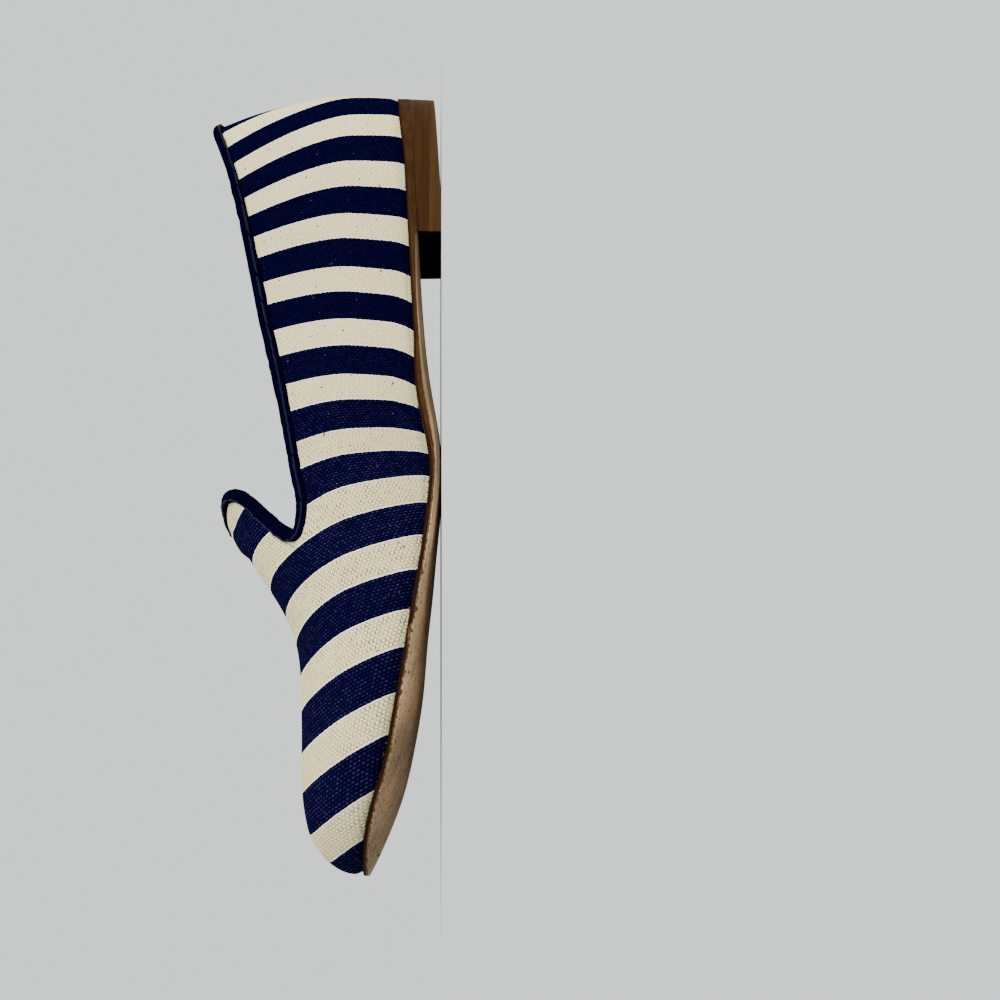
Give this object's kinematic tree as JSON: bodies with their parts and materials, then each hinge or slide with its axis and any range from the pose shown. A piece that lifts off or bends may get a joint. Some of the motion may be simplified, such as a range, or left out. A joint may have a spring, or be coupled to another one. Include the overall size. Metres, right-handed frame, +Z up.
{
  "type": "slipper loafer",
  "caption": "Women's canvas slipper loafer, left shoe, with a rounded tongue tab, bound topline, thin leather sole and low stacked heel.",
  "frame": {"origin": "on the floor under the middle of the shoe's bounding box", "axes": "+X to the toe, +Y to the outer (lateral) side of the left foot, +Z up"},
  "size_m": [0.26, 0.0812, 0.076],
  "materials": {
    "canvas": "plain woven canvas in wide navy and cream stripes",
    "tape": "matt navy twill tape",
    "lining_leather": "smooth natural lining leather",
    "sole_leather": "natural sole leather, brown waxed edge, worn and scuffed underneath",
    "heel_leather": "dark brown waxed stacked leather"
  },
  "bodies": {
    "root": {"upper": "canvas", "topline_binding": "tape", "insole": "lining_leather", "outsole": "sole_leather", "heel_lift": "heel_leather", "top_piece": "heel_leather"}
  },
  "joints": []
}
